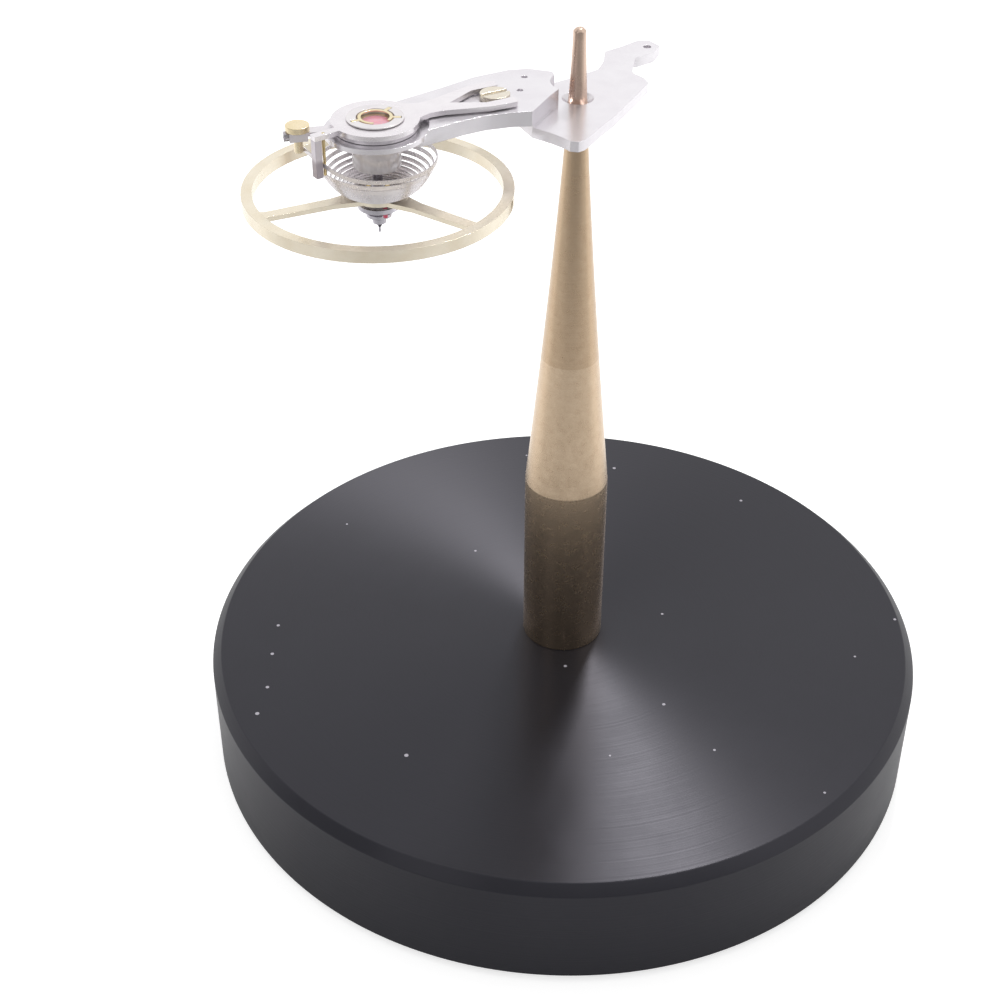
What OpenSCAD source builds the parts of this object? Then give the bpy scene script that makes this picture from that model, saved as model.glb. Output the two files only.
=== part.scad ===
// Balance holder: a turned base with a tapered needle post, and the watch
// balance that hangs on it by the screw hole in the foot of its cock.
// Millimetres, +Z up, origin at the centre of the base's underside.

/* [Base] */
// Diameter of the base
base_d = 35; // [30:0.5:42]
// Thickness of the base
base_h = 6; // [5:0.25:9]
// Width and height of the chamfers on the base's edges
base_edge = 0.45; // [0.2:0.05:0.8]

/* [Post] */
// Diameter of the post's plain cylinder
post_d = 3.9; // [3.5:0.1:4.5]
// Height of the plain cylinder above the base
plain_h = 9.2; // [6:0.2:12]
// Height of the taper from the cylinder to the tip
needle_h = 22.1; // [19:0.1:25]
// Diameter at the tip of the needle
tip_d = 0.54; // [0.45:0.01:0.64]
// How hollow the taper is, where 1 is a straight cone
taper_power = 1.3; // [1.15:0.05:1.5]
// Width and height of the chamfer at the tip
tip_edge = 0.12; // [0.05:0.01:0.2]
// Diameter of the spigot that locates the post in the base
spigot_d = 2.9; // [2.5:0.1:3.3]
// Length of that spigot
spigot_h = 1.5; // [1:0.1:2.5]

/* [Base screw] */
// Diameter of the screw's shank
shank_d = 2; // [1.6:0.1:2.2]
// Length of shank that sits in the post
shank_grip = 3.5; // [2.5:0.1:5]
// Diameter of the screw's head
head_d = 3.8; // [3.2:0.1:4.6]
// Height of the screw's head
head_h = 1.3; // [1:0.1:1.6]
// How far the head lies above the base's underside
head_sink = 0.3; // [0.1:0.05:0.6]
// Width of the slot in the head
slot_w = 0.5; // [0.3:0.05:0.8]
// Depth of that slot
slot_depth = 0.5; // [0.3:0.05:0.7]

/* [Balance cock] */
// Distance from the post's axis to the balance axis
arm_len = 9.1; // [8.6:0.1:10]
// Direction of the arm, seen from above, counted from +X
arm_az = 210.5; // [180:0.5:240]
// Diameter of the hole in the foot where it rests on the needle
foot_hole_d = 0.86; // [0.78:0.01:0.94]
// Diameter of that hole's countersink on top
foot_sink_d = 1.34; // [1.1:0.02:1.6]
// Thickness of the lowered foot
foot_t = 0.45; // [0.35:0.05:0.5]
// Height of the arm's top above the foot's underside
cock_h = 1.18; // [1.1:0.02:1.4]
// Thickness of the arm
arm_t = 0.63; // [0.5:0.01:0.68]
// Height from the underside of the round head to the arm's top
cock_head_t = 0.36; // [0.32:0.01:0.45]
// How far the head's top lies below the arm's top
head_sunk = 0.15; // [0.1:0.01:0.2]
// Diameter of the round head
cock_head_d = 4.1; // [3.8:0.05:4.3]
// Reach of the arm's shoulder on its far side
arm_far = 2.35; // [2.15:0.05:2.6]
// Reach of the arm's waist on its near side
arm_near = 1.27; // [1.15:0.05:1.45]
// Radius of the round step in the arm's end, round the needle
step_r = 1.15; // [1:0.05:1.3]
// Reach of the foot towards the balance
foot_inner = 3.05; // [2.9:0.05:3.2]
// Reach of the foot's near corner
foot_near = 3.7; // [3.4:0.05:4]
// Reach of the foot's back edge
foot_back = 3.5; // [3.3:0.05:3.8]
// Reach of the wing
wing_reach = 5.95; // [5.7:0.05:6.4]
// Diameter of the steady pins
steady_d = 0.5; // [0.4:0.02:0.6]
// How far the steady pins stand out below the foot
steady_out = 0.4; // [0.3:0.05:0.6]
// How far the steady pins reach into the foot
steady_grip = 0.3; // [0.2:0.02:0.32]

/* [Shock setting] */
// Diameter of the block that holds the jewels
block_d = 1.94; // [1.86:0.02:2.1]
// How far the block reaches below the arm's top
block_down = 1.7; // [1.4:0.05:1.8]
// Diameter of the lip that keeps the rings on the block
lip_d = 2.3; // [2.2:0.02:2.5]
// Thickness of that lip
lip_t = 0.06; // [0.05:0.01:0.1]
// Diameter of the pocket for the jewels
pocket_d = 1.5; // [1.46:0.01:1.6]
// Depth of the pocket below the block's top
pocket_depth = 0.5; // [0.48:0.01:0.56]
// Diameter of the clearance bore under the pocket
block_bore_d = 0.7; // [0.6:0.02:0.8]
// Height of the small cup that carries the jewels
chaton_h = 0.3; // [0.28:0.01:0.32]
// Diameter of the end stone
stone_d = 1.1; // [1:0.02:1.16]
// Thickness of the end stone at its edge
stone_t = 0.12; // [0.1:0.01:0.14]
// Diameter of the pierced jewel
hole_jewel_d = 0.84; // [0.76:0.02:0.9]
// Thickness of the pierced jewel
hole_jewel_t = 0.14; // [0.12:0.01:0.16]
// Diameter of the hole through the pierced jewel
jewel_hole_d = 0.14; // [0.12:0.01:0.18]
// Thickness of the shock spring
lyre_t = 0.05; // [0.04:0.005:0.06]
// Width of the shock spring's strip
lyre_w = 0.13; // [0.1:0.01:0.16]

/* [Regulator] */
// Diameter of the index disc
index_d = 3.5; // [3.3:0.05:3.7]
// Thickness of the index
index_t = 0.2; // [0.16:0.01:0.26]
// Distance from the balance axis to the adjuster's axis
adjuster_r = 5.05; // [4.85:0.05:5.2]
// Diameter of the adjuster's head, between the prongs
adjuster_d = 1.24; // [1.1:0.02:1.3]
// Offset of the head from the axis that it turns on
adjuster_offset = 0.2; // [0.15:0.01:0.22]
// Diameter of the adjuster's shank in the arm
adjuster_shank_d = 0.5; // [0.4:0.02:0.6]
// Width of each prong
prong_w = 0.5; // [0.4:0.02:0.6]
// Length of the prongs past the adjuster's head centre
prong_past = 0.5; // [0.4:0.05:0.7]
// Half the width of the tail's neck
neck_half = 0.54; // [0.4:0.02:0.6]
// Diameter of the curb pin
curb_pin_d = 0.12; // [0.1:0.01:0.14]
// Width of the curb boot, along the spring
boot_w = 0.36; // [0.3:0.02:0.4]
// Thickness of the curb boot, across the spring
boot_t = 0.3; // [0.24:0.02:0.34]
// How far the curb boot reaches below the spring's middle
boot_down = 0.46; // [0.3:0.02:0.6]

/* [Stud carrier] */
// Outer diameter of the carrier's ring
carrier_d = 3.3; // [3.1:0.05:3.5]
// Thickness of the carrier
carrier_t = 0.16; // [0.14:0.01:0.2]
// Distance from the balance axis to the stud
stud_r = 3.05; // [3:0.01:3.1]
// Diameter of the stud's pin
stud_d = 0.36; // [0.3:0.01:0.38]
// Diameter of the stud's broad head
stud_head_d = 0.95; // [0.85:0.05:1]
// Height of that head
stud_head_h = 0.25; // [0.2:0.01:0.3]
// Width of the carrier's arm
carrier_arm_w = 0.54; // [0.5:0.02:0.66]
// Depth of the block at the end of that arm
clamp_h = 0.36; // [0.34:0.01:0.5]
// How far that block reaches past the stud's axis
clamp_past = 0.36; // [0.34:0.02:0.5]
// Diameter of the stud screw's head
stud_screw_d = 0.4; // [0.36:0.02:0.5]

/* [Hairspring] */
// Radius of the outer turn
spring_outer_r = 2.45; // [2.42:0.01:2.5]
// Number of turns
spring_turns = 4.2; // [4:0.05:4.25]
// Thickness of the spring's strip
strip_w = 0.05; // [0.04:0.005:0.06]
// Height of the spring's strip
strip_h = 0.1; // [0.08:0.005:0.12]
// How far the rim of the spring's bowl lies below the arm's top
spring_rim_down = 1.25; // [1.15:0.05:1.35]
// How steeply the bowl's wall rises, where 1 is a straight cone
bowl_power = 3; // [2:0.25:4]
// How much higher than that rim the stud holds the outer end
stud_rise = 0.5; // [0.3:0.05:0.6]

/* [Balance] */
// Diameter of the balance wheel
wheel_d = 10.9; // [10.4:0.1:11.4]
// Height of the rim
rim_h = 0.5; // [0.4:0.02:0.6]
// Thickness of the rim
rim_w = 0.45; // [0.35:0.02:0.55]
// How far the hanging wheel's rim lies below the arm's top
wheel_hang = 2.66; // [2.56:0.02:2.76]
// Number of arms
arm_count = 3; // [2:1:4]
// Thickness of the arms
spoke_t = 0.2; // [0.15:0.01:0.25]
// Width of an arm at the rim
spoke_tip_w = 0.5; // [0.4:0.02:0.6]
// Width of an arm at the hub
spoke_root_w = 0.95; // [0.8:0.05:1.1]
// Diameter of the hub
hub_d = 1.9; // [1.7:0.05:2.1]
// Diameter of the collet
collet_d = 0.95; // [0.9:0.01:1]
// Height of the collet
collet_h = 0.32; // [0.28:0.01:0.36]
// Diameter of the staff where it carries the collet
staff_d = 0.56; // [0.5:0.01:0.6]
// Length of the staff over its pivots
staff_len = 3.95; // [3.9:0.05:4.05]
// Diameter of the staff's pivots
pivot_d = 0.1; // [0.08:0.01:0.12]
// How far the lower pivot reaches below the arms
pivot_down = 1.53; // [1.47:0.02:1.6]
// Diameter of the upper, larger roller
roller_d = 1.7; // [1.6:0.05:1.85]
// Diameter of the lower, smaller roller
safety_d = 1.05; // [1:0.01:1.1]
// Thickness of the larger roller
roller_t = 0.2; // [0.16:0.01:0.22]
// Diameter of the impulse jewel
impulse_d = 0.2; // [0.18:0.01:0.22]

/* [Hidden] */

// Clearances
press_gap = 0.01;   // round fixed pieces in their holes
run_gap = 0.03;     // pieces that turn on or past each other
stack_gap = 0.02;   // rings that lie above each other
seat_gap = 0.01;    // foot hole round the needle
cut = 0.02;         // how far a cutter passes the face that it opens

// Roundness
fine = 96;
mid = 48;
small = 32;

// The taper of the needle
taper_steps = 22;
function taper_r(t) = tip_d / 2 + (post_d - tip_d) / 2 * pow(1 - t, taper_power);
function taper_share(r) = 1 - pow((r - tip_d / 2) / ((post_d - tip_d) / 2), 1 / taper_power);

// Heights along the post
plain_top = base_h + plain_h;
post_top = plain_top + needle_h;
seat_z = plain_top + needle_h * taper_share(foot_hole_d / 2 - seat_gap);

// Heights along the balance axis
arm_top = seat_z + cock_h;
head_top = arm_top - head_sunk;
carrier_z = head_top + stack_gap;
index_z = carrier_z + carrier_t + stack_gap;
lip_z = index_z + index_t + stack_gap;
block_top = lip_z + lip_t;
pocket_z = block_top - pocket_depth;
stone_z = pocket_z + chaton_h;
lyre_z = block_top - lyre_t;

spring_rim = arm_top - spring_rim_down;
rim_top = arm_top - wheel_hang;
rim_z = rim_top - rim_h;
spoke_rise = 0.03;
spoke_z = rim_z + spoke_rise;
spoke_top = spoke_z + spoke_t;
collet_z = spoke_top + stack_gap;
spring_end = collet_z + collet_h / 2 - 0.04;

// Angles round the balance axis, counted from the arm's own direction
stud_angle = -14.5;
curb_angle = 7.5;
spoke_angle = -3.5;
notch_angle = 141;
impulse_angle = 90;

// The rings turn on the block
ring_bore = block_d + 2 * run_gap;

// Route of the hairspring, by the angle a from its outer end
rings_per_turn = 24;
spring_inner_r = collet_d / 2 + strip_w / 2 + press_gap;
spring_span = 360 * spring_turns;
spring_rings = round(rings_per_turn * spring_turns);
bend_angle = 34;     // stretch over which the outer end bends out to the stud
rise_angle = 80;     // stretch over which it rises to the stud
bend_out = stud_r - stud_d / 2 - strip_w / 2 - press_gap - spring_outer_r;

function spring_r(a) = spring_outer_r - (spring_outer_r - spring_inner_r) * a / spring_span
    + bend_out * pow(max(0, 1 - a / bend_angle), 2);
function spring_z(a) = spring_end + (spring_rim - spring_end) * pow(1 - a / spring_span, bowl_power)
    + stud_rise * pow(max(0, 1 - a / rise_angle), 2);

module at_post() {
    translate([0, 0, seat_z]) rotate([0, 0, arm_az]) children();
}

module at_balance(z = 0) {
    rotate([0, 0, arm_az]) translate([arm_len, 0, z]) children();
}

module ring(outer_d, inner_d, h, sides = mid) {
    difference() {
        cylinder(d = outer_d, h = h, $fn = sides);
        translate([0, 0, -cut]) cylinder(d = inner_d, h = h + 2 * cut, $fn = sides);
    }
}

// Holder

screw_head_z = head_sink;
screw_seat_z = screw_head_z + head_h;
spigot_z = base_h - spigot_h;
screw_room = 0.2;   // room round the screw's head and shank in the base

module base() {
    r = base_d / 2;
    color("#2B2C30") difference() {
        rotate_extrude($fn = 192)
            polygon([[0, 0], [r - base_edge, 0], [r, base_edge],
                     [r, base_h - base_edge], [r - base_edge, base_h], [0, base_h]]);
        translate([0, 0, -cut]) cylinder(d = head_d + 2 * screw_room, h = screw_seat_z + cut, $fn = mid);
        cylinder(d = shank_d + 2 * screw_room, h = base_h, $fn = mid);
        translate([0, 0, spigot_z]) cylinder(d = spigot_d + 2 * press_gap, h = base_h, $fn = mid);
    }
}

module column() {
    r_shank = shank_d / 2 + press_gap;
    screw_end = spigot_z + shank_grip + 2 * press_gap;
    bore_end = screw_end + shank_d / 3;
    taper = [for (i = [0 : taper_steps]) let (t = i / taper_steps)
             [taper_r(t), plain_top + (needle_h - tip_edge) * t]];
    color("#C9B290") rotate_extrude($fn = fine)
        polygon(concat(
            [[0, bore_end], [r_shank, screw_end], [r_shank, spigot_z],
             [spigot_d / 2, spigot_z], [spigot_d / 2, base_h], [post_d / 2, base_h]],
            taper,
            [[tip_d / 2 - tip_edge, post_top], [0, post_top]]));
}

module base_screw() {
    color("#8E8A84") difference() {
        union() {
            translate([0, 0, screw_head_z]) cylinder(d = head_d, h = head_h, $fn = mid);
            translate([0, 0, screw_head_z])
                cylinder(d = shank_d, h = spigot_z + shank_grip - screw_head_z, $fn = mid);
        }
        translate([-head_d, -slot_w / 2, screw_head_z - cut]) cube([2 * head_d, slot_w, slot_depth + cut]);
    }
}

// Balance cock, drawn with its first axis from the post to the balance and the second to the left of that

// Raised arm, from the step round the needle to the head. Its end lies under the thin round head and holds
// the shock setting from one side
arm_end = arm_len - 0.45;
arm_outline = [[0.45, -1.35], [1.2, -2.1], [2, -arm_far], [3.6, -arm_far],
               [arm_len - 3.9, -arm_far + 0.35], [arm_len - 1.3, -1.55], [arm_end, -1.25],
               [arm_end, arm_near - 0.05], [arm_len - 1.3, arm_near + 0.2], [arm_len - 3.2, arm_near],
               [4.9, arm_near], [3.9, arm_near + 0.2], [foot_inner + 0.05, arm_near + 0.5],
               [1.63, 0.67], [0.9, 0.2]];

// Lowered foot with its wing
foot_outline = [[foot_inner, arm_near + 0.4], [foot_inner - 0.42, foot_near - 1.2],
                [2.42, foot_near - 0.6], [2.33, foot_near - 0.22], [2.08, foot_near],
                [1.75, foot_near - 0.06], [1.3, foot_near - 0.33],
                [0.7, foot_near - 0.75], [-0.5, foot_near - 1.5],
                [0.85 - foot_back, 0.6], [0.1 - foot_back, 0], [-foot_back, -0.5],
                [0.15 - foot_back, -1.25], [-3.7, -1.75], [-4.3, -2.5], [0.65 - wing_reach, -2.65], [-wing_reach, -3.2],
                [0.1 - wing_reach, -3.95], [-5.4, -4.15], [-4.3, -3.87], [-3.5, -3.75],
                [-2.9, -2.85], [-2.25, -2.2], [-1.1, -1.95], [0.2, -1.8], [1.2, -2.1],
                [foot_inner - 0.7, -arm_far + 0.1], [foot_inner - 0.1, -1]];

steady_places = [[1.9, foot_near - 1.8], [0.9 - foot_back, -0.1]];
wing_hole = [0.55 - wing_reach, -3.35];
wing_hole_d = 0.34;
dimples = [[1.75, -1.4], [2.55, -0.3]];
dimple_d = 0.26;
dimple_depth = 0.12;
recess_room = 0.05;   // room round the head where the arm's end is cut back

module steady_holes() {
    for (p = steady_places)
        translate([p[0], p[1], -cut])
            cylinder(d = steady_d + 2 * press_gap, h = steady_grip + cut, $fn = small);
}

// Arm seen from above, with the round step in its end
module arm_shape() {
    difference() {
        polygon(arm_outline);
        circle(r = step_r, $fn = mid);
    }
}

module cock() {
    sink_from = foot_t / 3;
    color("#DCDAE0") difference() {
        union() {
            at_post() {
                linear_extrude(foot_t) polygon(foot_outline);
                linear_extrude(cock_h) intersection() {
                    polygon(foot_outline);
                    arm_shape();
                }
                translate([0, 0, cock_h - arm_t]) {
                    linear_extrude(arm_t - head_sunk) arm_shape();
                    linear_extrude(arm_t) difference() {
                        arm_shape();
                        translate([arm_len, 0]) circle(d = cock_head_d + 2 * recess_room, $fn = fine);
                    }
                }
            }
            at_balance(arm_top - cock_head_t)
                cylinder(d = cock_head_d, h = cock_head_t - head_sunk, $fn = fine);
        }
        at_post() {
            translate([0, 0, -cut]) cylinder(d = foot_hole_d, h = foot_t, $fn = mid);
            translate([0, 0, sink_from])
                cylinder(d1 = foot_hole_d, d2 = foot_sink_d, h = foot_t - sink_from, $fn = mid);
            translate([0, 0, foot_t]) cylinder(d = foot_sink_d, h = cut, $fn = mid);
            steady_holes();
            translate([wing_hole[0], wing_hole[1], -cut])
                cylinder(d = wing_hole_d, h = cock_h, $fn = small);
            for (p = dimples)
                translate([p[0], p[1], cock_h - dimple_depth])
                    cylinder(d = dimple_d, h = cock_h, $fn = small);
        }
        at_balance(arm_top - cock_h) cylinder(d = block_d + 2 * press_gap, h = 2 * cock_h, $fn = mid);
        at_balance(arm_top - cock_h) translate([-adjuster_r, 0, 0])
            cylinder(d = adjuster_shank_d + 2 * run_gap, h = 2 * cock_h, $fn = small);
    }
}

module steady_pins() {
    color("#B8B6BC") at_post()
        for (p = steady_places)
            translate([p[0], p[1], -steady_out])
                cylinder(d = steady_d, h = steady_out + steady_grip - press_gap, $fn = small);
}

// Shock setting

lyre_lugs = [150, 210, 0];
lyre_opening = 30;   // half the opening in the lyre's ring, in degrees
lyre_room = 0.06;    // room between the lyre's ring and the pocket's wall
lug_w = 0.16;
lug_end_room = 0.12; // width of lip that is left outside each lug's slot
stone_seat_share = 0.6;

module shock_block() {
    color("#D9C79A") at_balance() difference() {
        union() {
            translate([0, 0, arm_top - block_down])
                cylinder(d = block_d, h = block_top - arm_top + block_down, $fn = mid);
            translate([0, 0, lip_z]) cylinder(d = lip_d, h = lip_t, $fn = mid);
        }
        translate([0, 0, pocket_z]) cylinder(d = pocket_d, h = pocket_depth + cut, $fn = mid);
        translate([0, 0, arm_top - block_down - cut])
            cylinder(d = block_bore_d, h = pocket_z - arm_top + block_down + 2 * cut, $fn = small);
        // Slots that hold the lugs of the shock spring
        for (a = lyre_lugs)
            rotate([0, 0, a]) translate([0, -lug_w / 2 - press_gap, lyre_z - press_gap])
                cube([lip_d / 2 - lug_end_room, lug_w + 2 * press_gap, lyre_t + 2 * cut]);
    }
}

module chaton() {
    d = pocket_d - 2 * run_gap;
    color("#E2D3A6") at_balance(pocket_z) difference() {
        cylinder(d = d, h = chaton_h, $fn = mid);
        translate([0, 0, chaton_h - stone_t])
            cylinder(d = stone_d + 2 * press_gap, h = stone_t + cut, $fn = mid);
        translate([0, 0, chaton_h - stone_t - hole_jewel_t - press_gap])
            cylinder(d = hole_jewel_d + 2 * press_gap, h = chaton_h, $fn = mid);
        translate([0, 0, -cut])
            cylinder(d = block_bore_d * stone_seat_share, h = chaton_h + 2 * cut, $fn = small);
    }
}

module hole_jewel() {
    color("#C23A55") at_balance(stone_z - stone_t - hole_jewel_t - press_gap / 2)
        ring(hole_jewel_d, jewel_hole_d, hole_jewel_t - press_gap / 2, mid);
}

module cap_jewel() {
    crown = 0.04;
    r_dome = (stone_d * stone_d / 4 + crown * crown) / (2 * crown);
    color("#D8506A") at_balance(stone_z - stone_t) {
        cylinder(d = stone_d, h = stone_t, $fn = mid);
        translate([0, 0, stone_t]) intersection() {
            cylinder(d = stone_d, h = crown, $fn = mid);
            translate([0, 0, crown - r_dome]) sphere(r = r_dome, $fn = 400);
        }
    }
}

module shock_spring() {
    r = pocket_d / 2 - lyre_w - lyre_room;
    color("#E8C46A") at_balance(lyre_z) linear_extrude(lyre_t) {
        difference() {
            circle(r = r + lyre_w, $fn = mid);
            circle(r = r, $fn = mid);
            polygon([[0, 0], for (i = [-2 : 2]) let (a = 90 + lyre_opening * i / 2)
                             2 * pocket_d * [cos(a), sin(a)]]);
        }
        for (a = lyre_lugs)
            rotate(a) translate([r + lyre_w / 2, -lug_w / 2])
                square([lip_d / 2 - lug_end_room - 2 * press_gap - r - lyre_w / 2, lug_w]);
    }
}

// Regulator: the tail points from the balance axis back to the post

fork_half = adjuster_d / 2 + run_gap;
fork_out = fork_half + prong_w;
head_r = adjuster_r + adjuster_offset;
fork_end = head_r + prong_past;
fork_start = head_r - adjuster_d / 2 - 0.1;
crotch = fork_start - 1.3;
curb_r = spring_r(curb_angle - stud_angle);
boot_in = curb_r + strip_w / 2 + run_gap;
boot_z = spring_z(curb_angle - stud_angle) - boot_down;

// One side of the tail's outline, from the disc to the middle of the fork's crotch
tail_side = [[-1, neck_half + 0.45], [-index_d / 2 - 0.12, neck_half + 0.08],
             [-index_d / 2 - 0.4, neck_half], [0.5 - crotch, neck_half + 0.06],
             [-fork_start, fork_out - 0.06], [-head_r, fork_out], [0.1 - fork_end, fork_out],
             [-fork_end, fork_out - 0.12], [-fork_end, fork_half + 0.06], [0.06 - fork_end, fork_half],
             [-fork_start, fork_half], [-crotch, 0]];
tail_outline = concat(tail_side,
                      [for (i = [len(tail_side) - 2 : -1 : 0]) [tail_side[i][0], -tail_side[i][1]]]);

module regulator_index() {
    color("#D2CFD6") at_balance(index_z) linear_extrude(index_t) difference() {
        union() {
            circle(d = index_d, $fn = fine);
            polygon(tail_outline);
            rotate(curb_angle) translate([0, -boot_w / 2]) square([boot_in + boot_t, boot_w]);
        }
        circle(d = ring_bore, $fn = mid);
        // Hole for the curb pin
        rotate(curb_angle) translate([curb_pin_place(), 0]) circle(d = curb_pin_d + press_gap, $fn = small);
    }
}

function curb_pin_place() = curb_r - strip_w / 2 - run_gap - curb_pin_d / 2;

module curb_pin() {
    color("#C8A04C") at_balance(boot_z) rotate([0, 0, curb_angle]) translate([curb_pin_place(), 0, 0])
        cylinder(d = curb_pin_d, h = index_z + index_t - boot_z, $fn = small);
}

module curb_boot() {
    color("#4A444C") at_balance(boot_z) rotate([0, 0, curb_angle])
        translate([boot_in, -boot_w / 2, 0]) cube([boot_t, boot_w, index_z - boot_z]);
}

module fine_adjuster() {
    slot = adjuster_d / 6;
    slot_down = 0.1;
    h_head = index_z + index_t - arm_top;
    color("#CBB78E") at_balance(arm_top) translate([-adjuster_r, 0, 0]) difference() {
        union() {
            translate([-adjuster_offset, 0, stack_gap]) cylinder(d = adjuster_d, h = h_head, $fn = mid);
            translate([0, 0, -arm_t]) cylinder(d = adjuster_shank_d, h = arm_t + h_head, $fn = small);
        }
        translate([-adjuster_offset - adjuster_d, -slot / 2, stack_gap + h_head - slot_down])
            cube([2 * adjuster_d, slot, slot_down + cut]);
    }
}

// Stud carrier

clamp_z = carrier_z + carrier_t - clamp_h;
stud_head_z = carrier_z + carrier_t + stack_gap;
stud_bottom = spring_z(0) - strip_h;
stud_bore = stud_d + 2 * press_gap;
clamp_thread_d = 0.2;

module stud_carrier() {
    clamp_in = stud_r - clamp_past;
    color("#D6D3DA") at_balance() rotate([0, 0, stud_angle]) difference() {
        union() {
            translate([0, 0, carrier_z]) cylinder(d = carrier_d, h = carrier_t, $fn = fine);
            translate([0, -carrier_arm_w / 2, carrier_z])
                cube([stud_r + clamp_past, carrier_arm_w, carrier_t]);
            translate([clamp_in, -carrier_arm_w / 2, clamp_z])
                cube([2 * clamp_past, carrier_arm_w, clamp_h]);
        }
        translate([0, 0, carrier_z - cut]) cylinder(d = ring_bore, h = carrier_t + 2 * cut, $fn = mid);
        translate([stud_r, 0, clamp_z - cut]) cylinder(d = stud_bore, h = clamp_h + 2 * cut, $fn = small);
        translate([stud_r, 0, clamp_z + clamp_h / 2]) rotate([0, 90, 0])
            cylinder(d = clamp_thread_d + 2 * press_gap, h = 2 * clamp_past, $fn = small);
    }
}

module stud() {
    color("#E3B452") at_balance() rotate([0, 0, stud_angle]) translate([stud_r, 0, 0]) {
        translate([0, 0, stud_bottom]) cylinder(d = stud_d, h = stud_head_z - stud_bottom, $fn = small);
        translate([0, 0, stud_head_z]) cylinder(d = stud_head_d, h = stud_head_h, $fn = mid);
    }
}

module stud_screw() {
    tip = stud_r + stud_d / 2 + press_gap;
    under_head = stud_r + clamp_past + press_gap;
    head = 0.2;
    slot = 0.09;
    slot_down = 0.08;
    color("#C9C6CE") at_balance(clamp_z + clamp_h / 2) rotate([0, 0, stud_angle]) difference() {
        union() {
            translate([tip, 0, 0]) rotate([0, 90, 0])
                cylinder(d = clamp_thread_d, h = under_head - tip, $fn = small);
            translate([under_head, 0, 0]) rotate([0, 90, 0])
                cylinder(d = stud_screw_d, h = head, $fn = mid);
        }
        translate([under_head + head - slot_down, -stud_screw_d, -slot / 2])
            cube([head, 2 * stud_screw_d, slot]);
    }
}

// Hairspring: a strip that winds inwards and down to the collet, bowl-shaped under the wheel's weight

// Six-sided section of the strip, [across, up]
strip_section = [[strip_w / 2, -strip_h / 4], [strip_w / 2, strip_h / 4], [0, strip_h / 2],
                 [-strip_w / 2, strip_h / 4], [-strip_w / 2, -strip_h / 4], [0, -strip_h / 2]];
sides = len(strip_section);

spring_points = [for (i = [0 : spring_rings]) let (a = spring_span * i / spring_rings)
                 for (p = strip_section)
                 let (r = spring_r(a) + p[0]) [r * cos(a), r * sin(a), spring_z(a) + p[1]]];
spring_faces = concat(
    [for (k = [1 : sides - 2]) [0, k + 1, k]],
    [for (i = [0 : spring_rings - 1], k = [0 : sides - 1], half = [0, 1])
     let (p = i * sides + k, q = i * sides + (k + 1) % sides)
     half == 0 ? [p, q, q + sides] : [p, q + sides, p + sides]],
    [for (k = [1 : sides - 2]) let (last = spring_rings * sides) [last, last + k, last + k + 1]]);

// Least distance between points of neighbouring turns
least_gap = min([for (i = [0 : spring_rings - rings_per_turn], j = [-3 : 3])
    let (far = i + rings_per_turn + j)
    if (far <= spring_rings)
    for (p = [0 : sides - 1], q = [0 : sides - 1])
    norm(spring_points[i * sides + p] - spring_points[far * sides + q])]);
echo(hairspring_least_gap = least_gap);

module hairspring() {
    color("#C4C6CC") at_balance() rotate([0, 0, stud_angle])
        polyhedron(points = spring_points, faces = spring_faces, convexity = 8);
}

// Balance

flange_d = 1.1;
flange_h = 0.18;
upper_d = 0.4;
cone_h = 0.22;
staff_bottom = spoke_z - pivot_down;
staff_top = staff_bottom + staff_len;
roller_z = spoke_z - flange_h - press_gap - roller_t;
safety_t = 0.15;
safety_z = roller_z - 0.38;
impulse_r = roller_d / 2 - impulse_d / 2 - 0.12;
seat_step = 0.12;    // width of the seat round the staff for the balance wheel

module collet() {
    slit = 0.06;
    color("#C8A04C") at_balance(collet_z) difference() {
        ring(collet_d, staff_d + 2 * press_gap, collet_h, mid);
        rotate([0, 0, 120]) translate([0, -slit / 2, -cut]) cube([collet_d, slit, collet_h + 2 * cut]);
    }
}

module staff() {
    r = staff_d / 2;
    seat_r = r + seat_step;
    color("#A9A7AD") at_balance() rotate_extrude($fn = mid)
        polygon([[0, staff_bottom], [pivot_d / 2, staff_bottom], [pivot_d / 2, staff_bottom + cone_h],
                 [upper_d / 2, staff_bottom + 2 * cone_h], [r, staff_bottom + 2 * cone_h],
                 [r, spoke_z - flange_h], [flange_d / 2, spoke_z - flange_h],
                 [flange_d / 2, spoke_z - press_gap], [seat_r, spoke_z - press_gap],
                 [seat_r, spoke_top], [r, spoke_top], [r, collet_z + collet_h + press_gap],
                 [upper_d / 2, collet_z + collet_h + press_gap], [upper_d / 2, staff_top - 2 * cone_h],
                 [pivot_d / 2, staff_top - cone_h], [pivot_d / 2, staff_top], [0, staff_top]]);
}

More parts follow.
